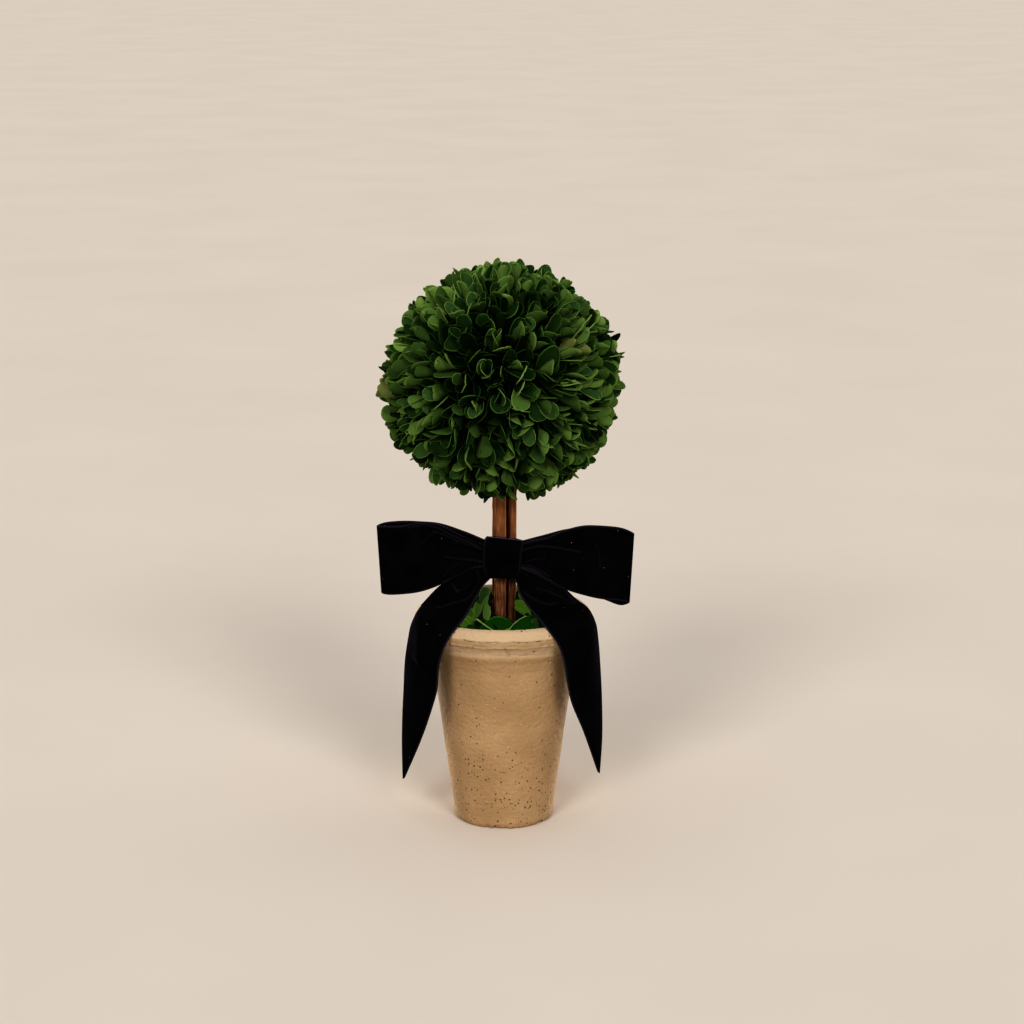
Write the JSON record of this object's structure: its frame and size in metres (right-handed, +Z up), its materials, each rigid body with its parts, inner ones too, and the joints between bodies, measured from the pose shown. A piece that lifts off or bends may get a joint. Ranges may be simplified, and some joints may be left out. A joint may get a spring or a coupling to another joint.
{
  "type": "potted ball topiary",
  "caption": "Clipped leafy ball on a bundle of straight sticks, set in a clay pot with leaves at its foot, a wide velvet bow tied round the sticks.",
  "frame": {"origin": "centre of the pot's flat underside, on the surface that it stands on", "axes": "+Z up along the sticks, -Y towards the front, where the bow's knot is, +X to the viewer's right"},
  "size_m": [0.1768, 0.1694, 0.4033],
  "materials": {
    "clay": "unglazed buff clay, matte, with small pits",
    "filling": "dark, rough plant filling",
    "bark": "smooth reddish brown twig bark with fine grain along it",
    "foliage": "preserved box leaves, dark green, faint gloss",
    "foot_leaves": "box sprigs and broad leaves, mid green, faint gloss",
    "velvet": "black velvet ribbon with a soft grey sheen along its folds"
  },
  "bodies": {
    "root": {"pot": "clay", "pot_fill": "filling", "stem_front_left": "bark", "stem_front_right": "bark", "stem_back_left": "bark", "stem_back_right": "bark", "foliage_ball": "foliage", "foot_foliage_left": "foot_leaves", "foot_foliage_right": "foot_leaves", "foot_foliage_back": "foot_leaves", "foot_foliage_front": "foot_leaves", "bow_band": "velvet", "bow_knot": "velvet", "bow_loop_left": "velvet", "bow_loop_right": "velvet", "bow_tail_left": "velvet", "bow_tail_right": "velvet"}
  },
  "joints": []
}
